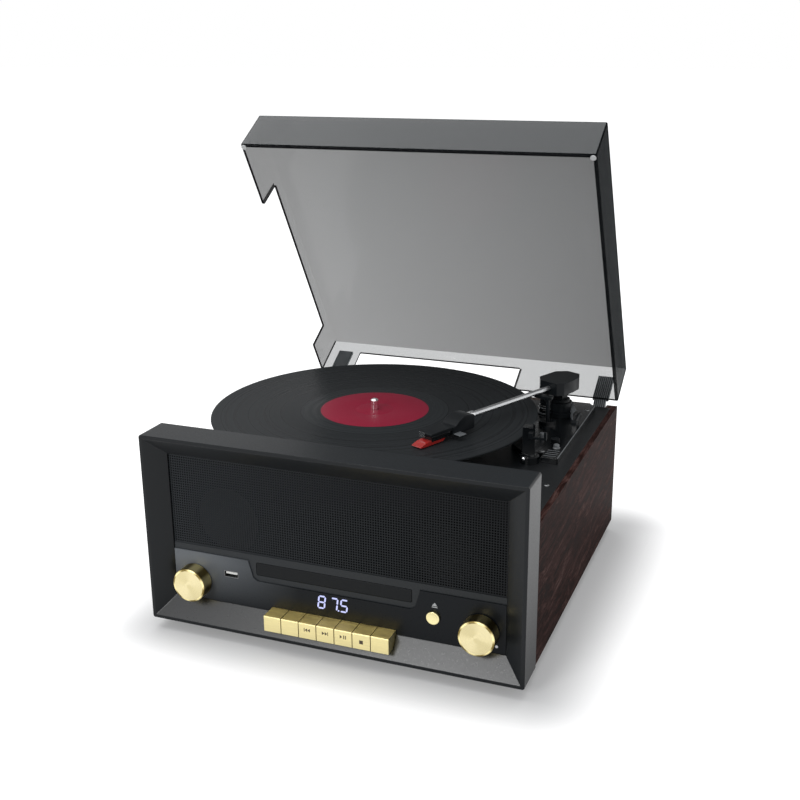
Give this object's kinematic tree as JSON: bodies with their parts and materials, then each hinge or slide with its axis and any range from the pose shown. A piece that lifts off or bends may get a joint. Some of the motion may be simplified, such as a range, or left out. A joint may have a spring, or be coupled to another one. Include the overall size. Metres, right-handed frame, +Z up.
{
  "type": "music centre",
  "caption": "Table-top music centre: record deck under a hinged smoked cover, disc drawer, tuning and volume knobs and piano keys in a framed front, in a veneered cabinet.",
  "frame": {"origin": "bottom centre of the whole object, cover open, on the table", "axes": "+X to the right seen from the front, +Y from the front panel to the back, +Z up"},
  "size_m": [0.349, 0.3862, 0.414],
  "materials": {
    "wood": "satin veneer",
    "board": "raw board",
    "dark_plastic": "satin",
    "frame_plastic": "semi-gloss",
    "gloss_black": "gloss",
    "rubber": "matt",
    "mesh": "matt",
    "speaker_cone": "matt",
    "circuit_board": "satin",
    "tin": "bright",
    "steel": "bright",
    "chrome": "polished",
    "gold": "spun and polished",
    "platter_metal": "satin",
    "felt": "felt",
    "vinyl": "grooved",
    "label_paper": "coated paper",
    "brass": "turned",
    "belt_rubber": "matt",
    "arm_metal": "painted silver",
    "stylus_red": "translucent",
    "smoked": "smoked, clear"
  },
  "bodies": {
    "cabinet": {"side_panel_left": "wood", "side_panel_right": "wood", "bottom_panel": "board", "back_panel": "board", "deck": "dark_plastic", "feet": "rubber", "bezel": "frame_plastic", "speaker_grille": "mesh", "speaker_baffle": "board", "speaker_left": "speaker_cone", "speaker_right": "speaker_cone", "fascia_panel": "dark_plastic", "control_plate": "gloss_black", "display_module": "gloss_black", "control_board": "circuit_board", "usb_socket": "tin", "main_board": "circuit_board", "jack_plate": "dark_plastic", "audio_sockets": "tin", "power_socket": "dark_plastic", "back_screws": "steel", "cd_loader": "dark_plastic", "spindle": "chrome", "motor": "steel", "drive_belt": "belt_rubber", "mechanism_plate": "dark_plastic", "arm_base": "dark_plastic", "arm_rest": "dark_plastic", "hinge_bases": "dark_plastic"},
    "cover": {"dust_cover": "smoked", "cover_fittings": "dark_plastic"},
    "platter_set": {"platter": "platter_metal", "slip_mat": "felt", "vinyl_record": "vinyl", "record_label": "label_paper"},
    "pulley": {"motor_pulley": "brass"},
    "arm_swing": {"arm_yoke": "dark_plastic"},
    "arm": {"pivot_block": "dark_plastic", "tonearm_tube": "arm_metal", "headshell": "dark_plastic", "cartridge": "dark_plastic", "stylus": "stylus_red"},
    "clip": {"arm_clip": "dark_plastic"},
    "lever": {"cue_lever": "dark_plastic"},
    "lift": {"cue_lift": "dark_plastic"},
    "speed": {"speed_switch": "dark_plastic"},
    "drawer": {"cd_tray": "dark_plastic", "cd_drawer_front": "dark_plastic"},
    "hub": {"cd_hub": "dark_plastic"},
    "sled": {"laser_sled": "dark_plastic"},
    "eject": {"eject_button": "gold"},
    "tuning": {"tuning_knob": "gold"},
    "volume": {"volume_knob": "gold"},
    "standby_body": {"standby_key": "gold"},
    "source_body": {"source_key": "gold"},
    "previous_body": {"previous_key": "gold"},
    "next_body": {"next_key": "gold"},
    "play_body": {"play_key": "gold"},
    "stop_body": {"stop_key": "gold"},
    "record_body": {"record_key": "gold"}
  },
  "joints": [
    {"name": "cover_hinge", "type": "hinge", "parent": "cabinet", "child": "cover", "pos_m": [0.01, 0.15054, 0.124], "axis": [1, 0, 0], "range_deg": [0, 59]},
    {"name": "platter_spin", "type": "hinge", "parent": "cabinet", "child": "platter_set", "pos_m": [-0.024, -0.00146, 0.15], "axis": [0, 0, -1], "continuous": true},
    {"name": "pulley_spin", "type": "hinge", "parent": "cabinet", "child": "pulley", "pos_m": [-0.09609, -0.05194, 0.142], "axis": [0, 0, -1], "continuous": true},
    {"name": "tonearm_swing", "type": "hinge", "parent": "cabinet", "child": "arm_swing", "pos_m": [0.129, 0.09154, 0.167], "axis": [0, 0, -1], "range_deg": [-25.5, 18]},
    {"name": "tonearm_lift", "type": "hinge", "parent": "arm_swing", "child": "arm", "pos_m": [0.129, 0.09154, 0.167], "axis": [0.9114, -0.4115, 0], "range_deg": [-3, 0]},
    {"name": "cue_lever_turn", "type": "hinge", "parent": "cabinet", "child": "lever", "pos_m": [0.153, 0.07154, 0.144], "axis": [1, 0, 0], "range_deg": [-66, 0]},
    {"name": "cue_lift_rise", "type": "slide", "parent": "cabinet", "child": "lift", "axis": [0, 0, 1], "range_m": [0, 0.0018]},
    {"name": "arm_clip_turn", "type": "hinge", "parent": "cabinet", "child": "clip", "pos_m": [0.1334, -0.02846, 0.1582], "axis": [0, -1, 0], "range_deg": [0, 90]},
    {"name": "speed_switch_slide", "type": "slide", "parent": "cabinet", "child": "speed", "axis": [0, 1, 0], "range_m": [0, 0.005]},
    {"name": "drawer_slide", "type": "slide", "parent": "cabinet", "child": "drawer", "axis": [0, -1, 0], "range_m": [0, 0.1355]},
    {"name": "disc_spin", "type": "hinge", "parent": "cabinet", "child": "hub", "pos_m": [0.01, -0.10096, 0.066], "axis": [0, 0, 1], "continuous": true},
    {"name": "sled_slide", "type": "slide", "parent": "cabinet", "child": "sled", "axis": [0, 1, 0], "range_m": [0, 0.033]},
    {"name": "standby_key_press", "type": "slide", "parent": "cabinet", "child": "standby_body", "axis": [0, 1, 0], "range_m": [0, 0.002], "stiffness_N_per_m": 400},
    {"name": "source_key_press", "type": "slide", "parent": "cabinet", "child": "source_body", "axis": [0, 1, 0], "range_m": [0, 0.002], "stiffness_N_per_m": 400},
    {"name": "previous_key_press", "type": "slide", "parent": "cabinet", "child": "previous_body", "axis": [0, 1, 0], "range_m": [0, 0.002], "stiffness_N_per_m": 400},
    {"name": "next_key_press", "type": "slide", "parent": "cabinet", "child": "next_body", "axis": [0, 1, 0], "range_m": [0, 0.002], "stiffness_N_per_m": 400},
    {"name": "play_key_press", "type": "slide", "parent": "cabinet", "child": "play_body", "axis": [0, 1, 0], "range_m": [0, 0.002], "stiffness_N_per_m": 400},
    {"name": "stop_key_press", "type": "slide", "parent": "cabinet", "child": "stop_body", "axis": [0, 1, 0], "range_m": [0, 0.002], "stiffness_N_per_m": 400},
    {"name": "record_key_press", "type": "slide", "parent": "cabinet", "child": "record_body", "axis": [0, 1, 0], "range_m": [0, 0.002], "stiffness_N_per_m": 400},
    {"name": "eject_press", "type": "slide", "parent": "cabinet", "child": "eject", "axis": [0, 1, 0], "range_m": [0, 0.0015], "stiffness_N_per_m": 400},
    {"name": "tuning_turn", "type": "hinge", "parent": "cabinet", "child": "tuning", "pos_m": [-0.116, -0.18946, 0.047], "axis": [0, 1, 0], "continuous": true},
    {"name": "volume_turn", "type": "hinge", "parent": "cabinet", "child": "volume", "pos_m": [0.136, -0.18946, 0.047], "axis": [0, 1, 0], "range_deg": [-150, 150]}
  ],
  "couplings": [
    {"joint": "pulley_spin", "follows": "platter_spin", "ratio": 16},
    {"joint": "cue_lever_turn", "follows": "tonearm_lift", "ratio": 20},
    {"joint": "cue_lift_rise", "follows": "tonearm_lift", "m_per_rad": -0.033}
  ]
}
